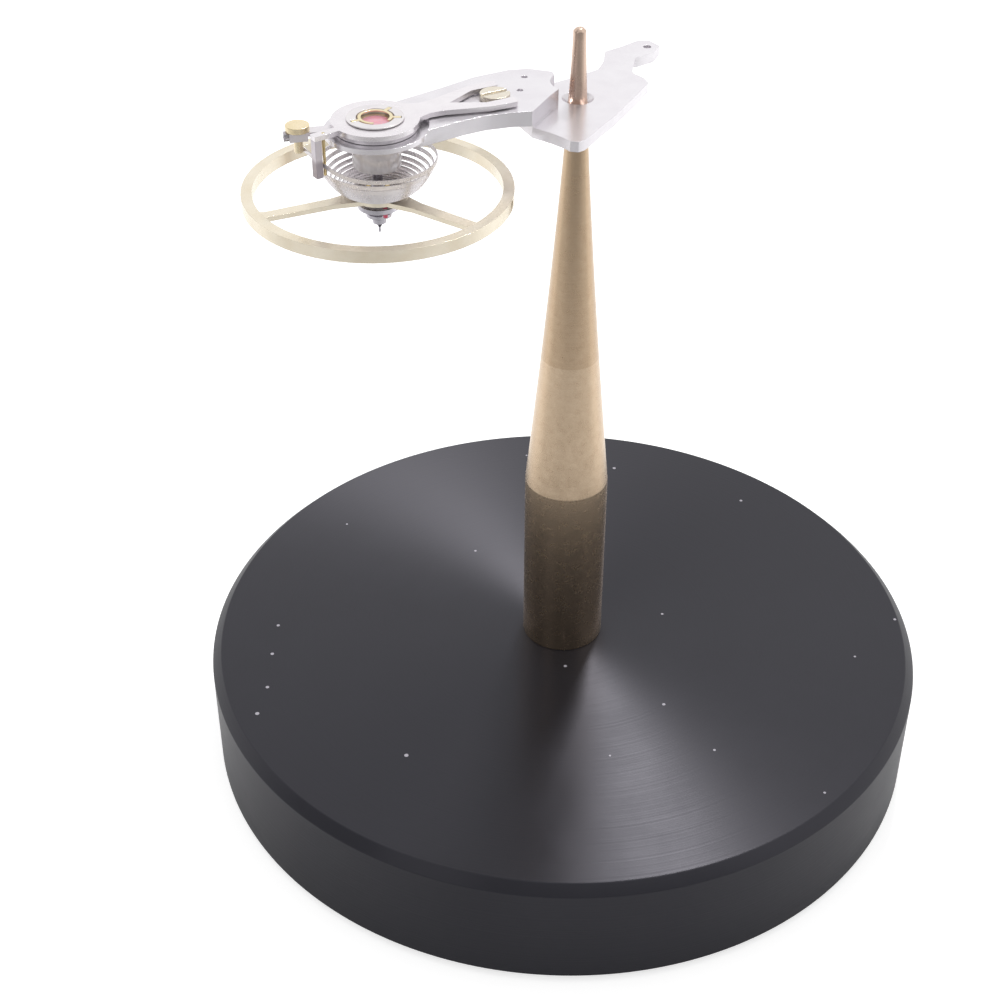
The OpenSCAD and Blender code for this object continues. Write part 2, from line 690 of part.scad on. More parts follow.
module balance_wheel() {
    rim_in = wheel_d / 2 - rim_w;
    seat = staff_d + 2 * seat_step + 2 * press_gap;
    dimple = 0.3;
    dimple_down = 0.15;
    end_flare = 0.2;     // how much each arm widens where it meets the rim
    color("#E6C878") at_balance() difference() {
        union() {
            translate([0, 0, rim_z]) ring(wheel_d, wheel_d - 2 * rim_w, rim_h, fine);
            translate([0, 0, spoke_z]) {
                cylinder(d = hub_d, h = spoke_t, $fn = mid);
                for (i = [0 : arm_count - 1])
                    rotate([0, 0, spoke_angle + 360 * i / arm_count]) linear_extrude(spoke_t)
                        polygon([[0, -spoke_root_w / 2], [hub_d / 2, -spoke_root_w / 2],
                                 [hub_d / 2 + 1, -spoke_tip_w / 2 - 0.04],
                                 [rim_in - 0.3, -spoke_tip_w / 2],
                                 [rim_in + 0.1, -spoke_tip_w / 2 - end_flare],
                                 [rim_in + 0.1, spoke_tip_w / 2 + end_flare],
                                 [rim_in - 0.3, spoke_tip_w / 2],
                                 [hub_d / 2 + 1, spoke_tip_w / 2 + 0.04],
                                 [hub_d / 2, spoke_root_w / 2], [0, spoke_root_w / 2]]);
            }
        }
        translate([0, 0, spoke_z - cut]) cylinder(d = seat, h = spoke_t + 2 * cut, $fn = mid);
        // Poising dimple in the rim's side
        rotate([0, 0, notch_angle]) translate([wheel_d / 2 - dimple_down, 0, rim_z + rim_h / 2])
            rotate([0, 90, 0]) cylinder(d = dimple, h = 1, $fn = small);
    }
}

module roller() {
    bore = staff_d + 2 * press_gap;
    tube_d = staff_d + 0.3;
    hollow_d = 0.28;
    color("#BDBAC2") at_balance() difference() {
        union() {
            translate([0, 0, roller_z]) cylinder(d = roller_d, h = roller_t, $fn = mid);
            translate([0, 0, safety_z]) cylinder(d = tube_d, h = roller_z - safety_z, $fn = mid);
            translate([0, 0, safety_z]) cylinder(d = safety_d, h = safety_t, $fn = mid);
        }
        translate([0, 0, safety_z - cut])
            cylinder(d = bore, h = roller_z + roller_t - safety_z + 2 * cut, $fn = mid);
        rotate([0, 0, impulse_angle]) {
            translate([impulse_r, 0, roller_z - cut])
                cylinder(d = impulse_d + 2 * press_gap, h = roller_t + 2 * cut, $fn = small);
            // Passing hollow under the impulse jewel
            translate([safety_d / 2 + hollow_d / 5, 0, safety_z - cut])
                cylinder(d = hollow_d, h = safety_t + 2 * cut, $fn = small);
        }
    }
}

module impulse_jewel() {
    low = safety_z + safety_t + press_gap;
    color("#C22F4C") at_balance(low) rotate([0, 0, impulse_angle]) translate([impulse_r, 0, 0])
        cylinder(d = impulse_d, h = roller_z + roller_t - low, $fn = small);
}

base();
column();
base_screw();
cock();
steady_pins();
shock_block();
chaton();
hole_jewel();
cap_jewel();
shock_spring();
regulator_index();
curb_pin();
curb_boot();
fine_adjuster();
stud_carrier();
stud();
stud_screw();
hairspring();
collet();
staff();
balance_wheel();
roller();
impulse_jewel();
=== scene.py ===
"""The look of a balance holder: its turned base, its needle post, and the watch balance that hangs on the needle."""

import logging
import math
from dataclasses import dataclass, field
from enum import Enum
from typing import Any, Mapping, Optional, Sequence

import bmesh
import bpy
from mathutils import Matrix, Vector


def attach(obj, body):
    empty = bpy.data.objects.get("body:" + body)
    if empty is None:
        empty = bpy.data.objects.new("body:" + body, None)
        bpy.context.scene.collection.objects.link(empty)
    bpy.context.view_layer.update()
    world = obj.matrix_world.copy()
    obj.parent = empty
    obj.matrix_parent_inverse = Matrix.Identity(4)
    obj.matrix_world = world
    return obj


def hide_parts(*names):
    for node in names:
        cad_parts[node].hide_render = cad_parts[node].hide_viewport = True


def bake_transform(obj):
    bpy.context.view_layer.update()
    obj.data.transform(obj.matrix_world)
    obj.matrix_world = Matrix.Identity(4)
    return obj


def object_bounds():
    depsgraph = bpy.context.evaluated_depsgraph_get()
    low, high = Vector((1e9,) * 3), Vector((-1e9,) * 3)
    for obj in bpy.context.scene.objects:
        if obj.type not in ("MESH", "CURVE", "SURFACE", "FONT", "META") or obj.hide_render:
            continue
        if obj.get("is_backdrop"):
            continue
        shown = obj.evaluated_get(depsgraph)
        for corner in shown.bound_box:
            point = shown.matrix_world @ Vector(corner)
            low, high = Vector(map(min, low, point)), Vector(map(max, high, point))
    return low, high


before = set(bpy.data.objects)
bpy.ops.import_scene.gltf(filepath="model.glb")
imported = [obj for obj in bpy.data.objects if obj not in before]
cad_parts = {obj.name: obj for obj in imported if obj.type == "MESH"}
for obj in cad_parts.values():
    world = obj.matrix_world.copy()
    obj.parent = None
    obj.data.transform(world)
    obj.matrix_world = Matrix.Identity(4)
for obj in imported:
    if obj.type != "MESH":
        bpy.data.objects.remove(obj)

log = logging.getLogger("balance_holder")

MM = 0.001
IMAGE_WIDTH = 1001
# Multiplied with a place, this leaves its part in the level plane
LEVEL = (1.0, 1.0, 0.0)
# Upward part of the normal above which a face counts as level
TOP_FACE = 0.95


def linear(hex_colour: str) -> tuple[float, float, float, float]:
    """Turns an sRGB colour into the linear one that a shader takes.

    Args:
        hex_colour: The colour as six hex digits, with or without a hash sign.

    Returns:
        Linear red, green, blue and an alpha of 1.
    """
    digits = hex_colour.lstrip("#")
    values = [int(digits[i:i + 2], 16) / 255 for i in (0, 2, 4)]
    straight = [v / 12.92 if v <= 0.04045 else ((v + 0.055) / 1.055) ** 2.4 for v in values]
    return (straight[0], straight[1], straight[2], 1.0)


def per_mm(feature_mm: float) -> float:
    """Gives the texture scale at which one feature of a pattern is feature_mm wide."""
    return 1.0 / (feature_mm * MM)


def set_inputs(tree: bpy.types.NodeTree, node: bpy.types.Node, inputs: Mapping[Any, Any]) -> None:
    """Sets or links a node's inputs.

    Args:
        tree: The tree that holds the node.
        node: The node.
        inputs: By input name or number, a value to set, or a node or socket to link.
    """
    for key, value in inputs.items():
        if isinstance(value, bpy.types.Node):
            value = next(s for s in value.outputs if s.enabled)
        if isinstance(value, bpy.types.NodeSocket):
            tree.links.new(value, node.inputs[key])
        else:
            node.inputs[key].default_value = value


def add_node(tree: bpy.types.NodeTree, kind: str, inputs: Optional[Mapping[Any, Any]] = None,
             **settings: Any) -> bpy.types.Node:
    """Adds one node with its settings and inputs.

    Args:
        tree: The tree that gets the node.
        kind: The node's type name.
        inputs: What set_inputs takes.
        **settings: Properties of the node.

    Returns:
        The new node.
    """
    node = tree.nodes.new(kind)
    for key, value in settings.items():
        setattr(node, key, value)
    set_inputs(tree, node, inputs or {})
    return node


def maths(tree: bpy.types.NodeTree, operation: str, *values: Any) -> bpy.types.Node:
    """Adds one step of a formula with numbers."""
    return add_node(tree, "ShaderNodeMath", dict(enumerate(values)), operation=operation)


def vectors(tree: bpy.types.NodeTree, operation: str, *values: Any) -> bpy.types.Node:
    """Adds one step of a formula with vectors."""
    return add_node(tree, "ShaderNodeVectorMath", dict(enumerate(values)), operation=operation)


def noise(tree: bpy.types.NodeTree, size_mm: float, detail: float, **inputs: Any) -> bpy.types.Node:
    """Adds a noise with features of size_mm, on a place given as Vector, or along a length given as W."""
    kind = "1D" if "W" in inputs else "3D"
    return add_node(tree, "ShaderNodeTexNoise", {**inputs, "Scale": per_mm(size_mm), "Detail": detail},
                    noise_dimensions=kind)


def remap(tree: bpy.types.NodeTree, value: Any, start: float, end: float, low: Any = 0.0, high: Any = 1.0,
          smooth: bool = False) -> bpy.types.Node:
    """Adds a node that turns a value between start and end into one between low and high."""
    return add_node(tree, "ShaderNodeMapRange",
                    {"Value": value, "From Min": start, "From Max": end, "To Min": low, "To Max": high},
                    interpolation_type="SMOOTHSTEP" if smooth else "LINEAR")


def mixed(tree: bpy.types.NodeTree, share: Any, first: Any, second: Any, how: str = "MIX") -> bpy.types.NodeSocket:
    """Mixes two colours, each given as hex digits or as a socket."""
    pair = [linear(c) if isinstance(c, str) else c for c in (first, second)]
    return add_node(tree, "ShaderNodeMix", {0: share, 6: pair[0], 7: pair[1]}, data_type="RGBA",
                    blend_type=how).outputs[2]


def part_of(tree: bpy.types.NodeTree, vector: Any, axis: str = "Z") -> bpy.types.NodeSocket:
    """Gives one coordinate of a vector."""
    return add_node(tree, "ShaderNodeSeparateXYZ", {0: vector}).outputs[axis]


def blank(name: str) -> tuple[bpy.types.Material, bpy.types.NodeTree, bpy.types.NodeSocket]:
    """Starts a material, and gives it with its tree and the object's own coordinates."""
    material = bpy.data.materials.new(name)
    material.use_nodes = True
    tree = material.node_tree
    return material, tree, add_node(tree, "ShaderNodeTexCoord").outputs["Object"]


def plain_object(name: str, mesh: bpy.types.Mesh) -> bpy.types.Object:
    """Makes an object of a mesh and links it to the scene."""
    obj = bpy.data.objects.new(name, mesh)
    bpy.context.scene.collection.objects.link(obj)
    return obj


def settle(obj: bpy.types.Object, name: str) -> bpy.types.Object:
    """Turns an object with modifiers, drawn in millimetres, into a plain mesh object in metres.

    Args:
        obj: The object drawn in millimetres. It is removed.
        name: Name of the finished piece.

    Returns:
        The finished object, at the origin, unturned and unscaled.
    """
    depsgraph = bpy.context.evaluated_depsgraph_get()
    mesh = bpy.data.meshes.new_from_object(obj.evaluated_get(depsgraph), depsgraph=depsgraph)
    bpy.data.objects.remove(obj)
    mesh.name = name
    mesh.transform(Matrix.Scale(MM, 4))
    return plain_object(name, mesh)


def shade(obj: bpy.types.Object, angle_deg: float) -> None:
    """Shades an object smooth, and keeps the edges sharper than angle_deg sharp."""
    mesh = obj.data
    mesh.polygons.foreach_set("use_smooth", [True] * len(mesh.polygons))
    mesh.set_sharp_from_angle(angle=math.radians(angle_deg))
    mesh.update()


class Grain(Enum):
    """How a metal surface was made, which sets how its fine marks run."""

    TURNED = "turned"
    BRUSHED = "brushed"
    FROSTED = "frosted"
    POLISHED = "polished"


@dataclass(frozen=True)
class MetalFinish:
    """A bare or plated metal.

    Attributes:
        name: What the metal and its surface are.
        colour: Colour of the clean metal.
        worn: Colour of the duller patches.
        roughness: Roughness of the clean metal.
        dulling: How much rougher the duller patches are.
        grain: How the marks run.
        mark_mm: Distance between marks.
        mark_depth: Strength of the marks' bump.
        patch_mm: Size of the duller patches.
        centre_mm: Axis that turned marks run round, as x and y.
        brush_deg: Direction that brushed marks run in, seen from above.
        dipped: Colour of the lower end, where it differs.
        dip_mm: Heights between which the lower end's colour fades out.
        bare: Share of bare metal. The rest is a milky bloom on the plating, which scatters light.
    """

    name: str
    colour: str
    worn: str
    roughness: float
    dulling: float = 0.1
    grain: Grain = Grain.POLISHED
    mark_mm: float = 0.08
    mark_depth: float = 0.05
    patch_mm: float = 1.2
    centre_mm: tuple[float, float] = (0.0, 0.0)
    brush_deg: float = 0.0
    dipped: str = ""
    dip_mm: tuple[float, float] = (0.0, 1.0)
    bare: float = 1.0

    def marks(self, tree: bpy.types.NodeTree, place: bpy.types.NodeSocket) -> bpy.types.Node:
        """Builds the pattern of fine marks.

        Args:
            tree: The material's tree.
            place: The object's own coordinates.

        Returns:
            A noise node whose value rises and falls across the marks.
        """
        if self.grain is Grain.TURNED:
            flat = vectors(tree, "MULTIPLY", place, LEVEL)
            reach = vectors(tree, "LENGTH", flat).outputs["Value"]
            return noise(tree, self.mark_mm, 3.0, W=maths(tree, "ADD", reach, part_of(tree, place)))
        if self.grain is Grain.BRUSHED:
            # Marks run about 17 times as long as they are wide
            laid = add_node(tree, "ShaderNodeMapping",
                            {"Vector": place, "Rotation": (0.0, 0.0, -math.radians(self.brush_deg)),
                             "Scale": (0.06, 1.0, 1.0)})
            return noise(tree, self.mark_mm, 3.0, Vector=laid)
        return noise(tree, self.mark_mm, 4.0 if self.grain is Grain.FROSTED else 1.0, Vector=place)

    def make(self) -> bpy.types.Material:
        """Builds the material."""
        material, tree, raw = blank(self.name)
        centre = (-self.centre_mm[0] * MM, -self.centre_mm[1] * MM, 0.0)
        place = add_node(tree, "ShaderNodeMapping", {"Vector": raw, "Location": centre}).outputs[0]
        patch = noise(tree, self.patch_mm, 5.0, Vector=place, Roughness=0.6)
        share = remap(tree, patch, 0.35, 0.7)
        marks = self.marks(tree, place)
        tint = mixed(tree, share, self.colour, self.worn)
        rough = remap(tree, share, 0.0, 1.0, self.roughness, self.roughness + self.dulling)
        if self.dipped:
            above = remap(tree, part_of(tree, place), *(z * MM for z in self.dip_mm), smooth=True)
            tint = mixed(tree, above, self.dipped, tint)
        set_inputs(tree, tree.nodes["Principled BSDF"], {
            "Base Color": tint, "Roughness": maths(tree, "MULTIPLY_ADD", marks, self.dulling, rough),
            "Normal": add_node(tree, "ShaderNodeBump", {"Strength": self.mark_depth, "Distance": self.mark_mm * MM,
                                                        "Height": marks}),
            "Metallic": self.bare})
        return material


def across_turning(tree: bpy.types.NodeTree, place: bpy.types.NodeSocket) -> bpy.types.Node:
    """Builds the direction in the surface that crosses the marks of a lathe that turned it round the Z axis.

    Args:
        tree: The material's tree.
        place: The object's own coordinates.

    Returns:
        A node that gives the direction.
    """
    around = vectors(tree, "CROSS_PRODUCT", (0.0, 0.0, 1.0), vectors(tree, "MULTIPLY", place, LEVEL))
    return vectors(tree, "CROSS_PRODUCT", around, add_node(tree, "ShaderNodeNewGeometry").outputs["Normal"])


@dataclass(frozen=True)
class AnodisedFinish:
    """Black anodised aluminium over fine turning: a dark dyed skin with a narrow streak of light across the marks.

    Attributes:
        name: What the surface is.
        skin: Colour of the dyed skin.
        bloom: Colour of its slightly greyer patches.
        roughness: Roughness of the skin.
        stretch: How much the highlight is drawn out across the turning marks.
        pitch_mm: Distance between turning marks. Real ones are about 0.04 mm apart, which is finer than a pixel.
        patch_mm: Size of the greyer patches.
        lint_mm: Diameter of the largest specks of lint.
        lint_cell_mm: Distance between places where a speck may lie.
        lint_share: Share of those places that hold one.
        lint_colour: Colour of the lint.
        gloss: Strength of the reflection at the surface.
        sheen: Colour of that reflection.
    """

    name: str
    skin: str = "#101116"
    bloom: str = "#191A20"
    roughness: float = 0.34
    stretch: float = 0.9
    pitch_mm: float = 0.11
    patch_mm: float = 3.0
    lint_mm: float = 0.2
    lint_cell_mm: float = 2.4
    lint_share: float = 0.14
    lint_colour: str = "#A9A6AE"
    gloss: float = 0.5
    sheen: str = "#F0ECF9"

    def lint(self, tree: bpy.types.NodeTree, place: bpy.types.NodeSocket) -> bpy.types.Node:
        """Builds the specks of lint on the top face: small dots of several sizes, in a few of the cells.

        Args:
            tree: The material's tree.
            place: The object's own coordinates.

        Returns:
            A node that gives 1 on a speck and 0 elsewhere.
        """
        up = part_of(tree, add_node(tree, "ShaderNodeNewGeometry").outputs["Normal"])
        lint = maths(tree, "GREATER_THAN", up, TOP_FACE)
        cells = add_node(tree, "ShaderNodeTexVoronoi", {"Vector": place, "Scale": per_mm(self.lint_cell_mm)},
                         voronoi_dimensions="2D")
        draw = add_node(tree, "ShaderNodeSeparateColor", {0: cells.outputs["Color"]})
        widest = self.lint_mm / self.lint_cell_mm
        size = remap(tree, draw.outputs[1], 0.0, 1.0, 0.2 * widest, 0.5 * widest)
        for value, limit in ((draw.outputs[0], self.lint_share), (cells.outputs["Distance"], size)):
            lint = maths(tree, "MULTIPLY", lint, maths(tree, "LESS_THAN", value, limit))
        return lint

    def make(self) -> bpy.types.Material:
        """Builds the material."""
        material, tree, place = blank(self.name)
        reach = vectors(tree, "LENGTH", vectors(tree, "MULTIPLY", place, LEVEL)).outputs["Value"]
        marks = noise(tree, self.pitch_mm, 2.0, W=maths(tree, "SUBTRACT", reach, part_of(tree, place)))
        patch = noise(tree, self.patch_mm, 6.0, Vector=place, Roughness=0.65)
        dyed = mixed(tree, patch, self.skin, self.bloom)
        worn = remap(tree, patch, 0.0, 1.0, self.roughness - 0.07, self.roughness + 0.03)
        set_inputs(tree, tree.nodes["Principled BSDF"], {
            "Base Color": mixed(tree, self.lint(tree, place), dyed, self.lint_colour),
            "Roughness": maths(tree, "MULTIPLY_ADD", marks, 0.08, worn),
            "Normal": add_node(tree, "ShaderNodeBump", {"Strength": 0.15, "Distance": 0.02 * MM, "Height": marks}),
            "Tangent": across_turning(tree, place), "Anisotropic": self.stretch, "IOR": 1.5,
            "Specular Tint": linear(self.sheen), "Specular IOR Level": self.gloss})
        return material


@dataclass(frozen=True)
class PostBrassFinish:
    """Turned brass of the post, bright on the taper and browner near the needle's tip.

    Attributes:
        name: What the surface is.
        colour: Colour of the brass.
        dull: Colour of its duller flecks.
        upper_taper_tint: Colour that the upper taper is multiplied by, which makes it a little darker above a sharp
            step.
        upper_taper_from_mm: Height where that darker part begins.
        tip_tint: Colour near the needle's tip.
        tip_tint_from_mm: Height at which that colour begins.
        tip_tint_to_mm: Height at which it is full.
        roughness: Roughness of the clean brass.
        stretch: How much the highlight is drawn out across the turning marks.
        haze: Strength of the dusty film, which shows at the sides where it is seen edge on.
        film: Colour of that film.
        fleck_mm: Size of the duller flecks.
        pitch_mm: Distance between turning marks. Real ones are about 0.05 mm apart.
    """

    name: str
    colour: str = "#CDB79D"
    dull: str = "#C6AE93"
    upper_taper_tint: str = "#F1EEEA"
    upper_taper_from_mm: float = 21.95
    tip_tint: str = "#D6BDAC"
    tip_tint_from_mm: float = 33.5
    tip_tint_to_mm: float = 34.3
    roughness: float = 0.23
    stretch: float = 0.6
    haze: float = 0.08
    film: str = "#EBDDD3"
    fleck_mm: float = 0.4
    pitch_mm: float = 0.09

    def make(self) -> bpy.types.Material:
        """Builds the material."""
        material, tree, place = blank(self.name)
        height = part_of(tree, place)
        marks = noise(tree, self.pitch_mm, 3.0, W=height)
        share = remap(tree, noise(tree, self.fleck_mm, 6.0, Vector=place, Roughness=0.7), 0.3, 0.7)
        upper = maths(tree, "GREATER_THAN", height, self.upper_taper_from_mm * MM)
        brass = mixed(tree, upper, mixed(tree, share, self.colour, self.dull), self.upper_taper_tint, "MULTIPLY")
        tip_share = remap(tree, height, self.tip_tint_from_mm * MM, self.tip_tint_to_mm * MM, smooth=True)
        set_inputs(tree, tree.nodes["Principled BSDF"], {
            "Base Color": mixed(tree, tip_share, brass, self.tip_tint),
            "Roughness": remap(tree, share, 0.0, 1.0, self.roughness, self.roughness + 0.06),
            "Normal": add_node(tree, "ShaderNodeBump", {"Strength": 0.06, "Distance": 0.02 * MM, "Height": marks}),
            "Tangent": across_turning(tree, place), "Anisotropic": self.stretch, "Metallic": 1.0,
            "Sheen Weight": self.haze, "Sheen Roughness": 0.3, "Sheen Tint": linear(self.film)})
        return material


@dataclass(frozen=True)
class RubyFinish:
    """Synthetic ruby: hard, glossy and pink-red, with light let into its skin.

    Attributes:
        name: What the stone is.
        colour: Colour of the stone.
        deep: Colour where it is deeper.
    """

    name: str
    colour: str = "#E9A9B6"
    deep: str = "#C0637C"

    def make(self) -> bpy.types.Material:
        """Builds the material."""
        material, tree, place = blank(self.name)
        cloud = noise(tree, 0.6, 2.0, Vector=place)
        edge = add_node(tree, "ShaderNodeLayerWeight", {"Blend": 0.4}).outputs["Facing"]
        set_inputs(tree, tree.nodes["Principled BSDF"], {
            "Base Color": mixed(tree, maths(tree, "MULTIPLY", cloud, edge), self.colour, self.deep),
            "Roughness": remap(tree, cloud, 0.0, 1.0, 0.04, 0.12), "IOR": 1.77,
            "Subsurface Weight": 0.2, "Subsurface Scale": 0.2 * MM})
        return material


class TurnedForm:
    """Geometry Nodes tree that turns a profile round the Z axis, as a lathe does."""

    def __init__(self) -> None:
        """Builds the tree, with named inputs for the number of sides and the material."""
        tree = bpy.data.node_groups.new("turned_form", "GeometryNodeTree")
        tree.is_modifier = True
        face = tree.interface
        face.new_socket("Profile", in_out="INPUT", socket_type="NodeSocketGeometry")
        self.sides = face.new_socket("Sides", in_out="INPUT", socket_type="NodeSocketInt").identifier
        self.material = face.new_socket("Finish", in_out="INPUT", socket_type="NodeSocketMaterial").identifier
        face.new_socket("Form", in_out="OUTPUT", socket_type="NodeSocketGeometry")
        given = add_node(tree, "NodeGroupInput")
        profile, sides = given.outputs["Profile"], given.outputs["Sides"]
        count = add_node(tree, "GeometryNodeAttributeDomainSize", {"Geometry": profile}, component="MESH")
        points = count.outputs["Point Count"]
        steps, rows = maths(tree, "SUBTRACT", points, 1.0), maths(tree, "ADD", sides, 1.0)
        # A flat sheet whose X counts the profile's points and whose Y counts the sides
        sheet = add_node(tree, "GeometryNodeMeshGrid",
                         {"Size X": steps, "Size Y": sides, "Vertices X": points, "Vertices Y": rows})
        here = add_node(tree, "ShaderNodeSeparateXYZ", {0: add_node(tree, "GeometryNodeInputPosition")})
        step = maths(tree, "ADD", maths(tree, "MULTIPLY_ADD", steps, 0.5, here.outputs["X"]), 0.5)
        turn = maths(tree, "ADD", maths(tree, "DIVIDE", here.outputs["Y"], sides), 0.5)
        angle = maths(tree, "MULTIPLY", turn, math.tau)
        corner = add_node(tree, "GeometryNodeSampleIndex",
                          {"Geometry": profile, "Value": add_node(tree, "GeometryNodeInputPosition"),
                           "Index": maths(tree, "FLOOR", step)}, data_type="FLOAT_VECTOR")
        drawn = add_node(tree, "ShaderNodeSeparateXYZ", {0: corner})
        x, y = (maths(tree, "MULTIPLY", drawn.outputs["X"], maths(tree, kind, angle)) for kind in ("COSINE", "SINE"))
        place = add_node(tree, "ShaderNodeCombineXYZ", {"X": x, "Y": y, "Z": drawn.outputs["Z"]})
        turned = add_node(tree, "GeometryNodeSetPosition", {"Geometry": sheet.outputs["Mesh"], "Position": place})
        closed = add_node(tree, "GeometryNodeMergeByDistance", {"Geometry": turned, "Distance": 1e-5})
        real = add_node(tree, "GeometryNodeRealizeInstances", {"Geometry": closed})
        dressed = add_node(tree, "GeometryNodeSetMaterial",
                           {"Geometry": real, "Material": given.outputs["Finish"]})
        add_node(tree, "NodeGroupOutput", {0: dressed})
        self.tree = tree

    def turn(self, name: str, profile: Sequence[tuple[float, float]], sides: int,
             finish: bpy.types.Material) -> bpy.types.Object:
        """Turns one piece.

        Args:
            name: Name of the piece.
            profile: Radius and height of each point, in millimetres.
            sides: Number of sides of the turned shape.
            finish: Its material.

        Returns:
            The finished piece.
        """
        mesh = bpy.data.meshes.new(name)
        mesh.from_pydata([(r, 0.0, z) for r, z in profile], [], [])
        obj = plain_object(name, mesh)
        form = obj.modifiers.new("turned", "NODES")
        form.node_group = self.tree
        form[self.sides] = sides
        form[self.material] = finish
        piece = settle(obj, name)
        outward(piece)
        shade(piece, 28.0)
        flatten(piece)
        return piece


class HairspringForm:
    """Geometry Nodes tree of a hairspring: a ribbon that winds inwards, and down in a bowl under the wheel."""

    LENGTHS: tuple[str, ...] = ("Outer radius", "Inner radius", "Rim height", "Inner height", "Bend out",
                                "Stud rise", "Strip width", "Strip height")
    NUMBERS: tuple[str, ...] = ("Turns", "Bowl power", "Start angle", "Bend angle", "Rise angle")
    PER_TURN: int = 72

    def __init__(self) -> None:
        """Builds the tree, with one named input for each size."""
        tree = bpy.data.node_groups.new("hairspring_form", "GeometryNodeTree")
        tree.is_modifier = True
        face = tree.interface
        face.new_socket("Start", in_out="INPUT", socket_type="NodeSocketGeometry")
        self.inputs = {name: face.new_socket(name, in_out="INPUT", socket_type="NodeSocketFloat").identifier
                       for name in self.LENGTHS + self.NUMBERS}
        self.material = face.new_socket("Finish", in_out="INPUT", socket_type="NodeSocketMaterial").identifier
        face.new_socket("Spring", in_out="OUTPUT", socket_type="NodeSocketGeometry")
        given = add_node(tree, "NodeGroupInput").outputs

        def work(operation: str, *values: Any) -> bpy.types.Node:
            """Adds one step of the spring's formula."""
            return maths(tree, operation, *values)

        def fading(reach: str) -> bpy.types.Node:
            """Gives 1 at the outer end, which fades to 0 over the angle named reach."""
            rest = work("SUBTRACT", 1.0, work("DIVIDE", angle, given[reach]))
            return work("POWER", work("MAXIMUM", 0.0, rest), 2.0)

        points = work("MULTIPLY_ADD", given["Turns"], float(self.PER_TURN), 1.0)
        line = add_node(tree, "GeometryNodeMeshLine", {"Count": points, "Offset": (0.0, 0.0, 0.01)})
        share = work("DIVIDE", add_node(tree, "GeometryNodeInputIndex"), work("SUBTRACT", points, 1.0))
        angle = work("MULTIPLY", share, work("MULTIPLY", given["Turns"], math.tau))
        left = work("SUBTRACT", 1.0, share)
        bend, rise = fading("Bend angle"), fading("Rise angle")
        wound = work("MULTIPLY_ADD", work("SUBTRACT", given["Outer radius"], given["Inner radius"]), left,
                     given["Inner radius"])
        radius = work("MULTIPLY_ADD", given["Bend out"], bend, wound)
        bowl = work("MULTIPLY_ADD", work("SUBTRACT", given["Rim height"], given["Inner height"]),
                    work("POWER", left, given["Bowl power"]), given["Inner height"])
        height = work("MULTIPLY_ADD", given["Stud rise"], rise, bowl)
        turned = work("ADD", angle, given["Start angle"])
        place = add_node(tree, "ShaderNodeCombineXYZ",
                         {"X": work("MULTIPLY", radius, work("COSINE", turned)),
                          "Y": work("MULTIPLY", radius, work("SINE", turned)), "Z": height})
        wire = add_node(tree, "GeometryNodeSetPosition", {"Geometry": line, "Position": place})
        curve = add_node(tree, "GeometryNodeMeshToCurve", {"Mesh": wire})
        upright = add_node(tree, "GeometryNodeSetCurveNormal", {"Curve": curve}, mode="Z_UP")
        strip = add_node(tree, "GeometryNodeCurvePrimitiveQuadrilateral",
                         {"Width": given["Strip width"], "Height": given["Strip height"]})
        ribbon = add_node(tree, "GeometryNodeCurveToMesh",
                          {"Curve": upright, "Profile Curve": strip, "Fill Caps": True})
        real = add_node(tree, "GeometryNodeRealizeInstances", {"Geometry": ribbon})
        dressed = add_node(tree, "GeometryNodeSetMaterial",
                           {"Geometry": real, "Material": given["Finish"]})
        add_node(tree, "NodeGroupOutput", {0: dressed})
        self.tree = tree

    def wind(self, name: str, sizes: Mapping[str, float], finish: bpy.types.Material) -> bpy.types.Object:
        """Winds one spring round the Z axis.

        Args:
            name: Name of the piece.
            sizes: A value for each named input, in millimetres, turns or radians.
            finish: Its material.

        Returns:
            The spring, drawn in millimetres, with its modifier.
        """
        mesh = bpy.data.meshes.new(name)
        mesh.from_pydata([(0.0, 0.0, 0.0)], [], [])
        obj = plain_object(name, mesh)
        form = obj.modifiers.new("spring", "NODES")
        form.node_group = self.tree
        for key, value in sizes.items():
            form[self.inputs[key]] = float(value)
        form[self.material] = finish
        return obj


def flatten(obj: bpy.types.Object) -> None:
    """Lets a mesh's large faces set the shading at their corners, so that only the small rounds shade across."""
    weigh = obj.modifiers.new("weigh", "WEIGHTED_NORMAL")
    weigh.keep_sharp = True
    weigh.weight = 80
    depsgraph = bpy.context.evaluated_depsgraph_get()
    rough = obj.data
    mesh = bpy.data.meshes.new_from_object(obj.evaluated_get(depsgraph), depsgraph=depsgraph)
    obj.modifiers.clear()
    obj.data = mesh
    bpy.data.meshes.remove(rough)
    mesh.name = obj.name


def outward(obj: bpy.types.Object) -> None:
    """Turns every face of a closed mesh outwards."""
    mesh = obj.data
    work = bmesh.new()
    work.from_mesh(mesh)
    bmesh.ops.recalc_face_normals(work, faces=work.faces)
    work.to_mesh(mesh)
    work.free()


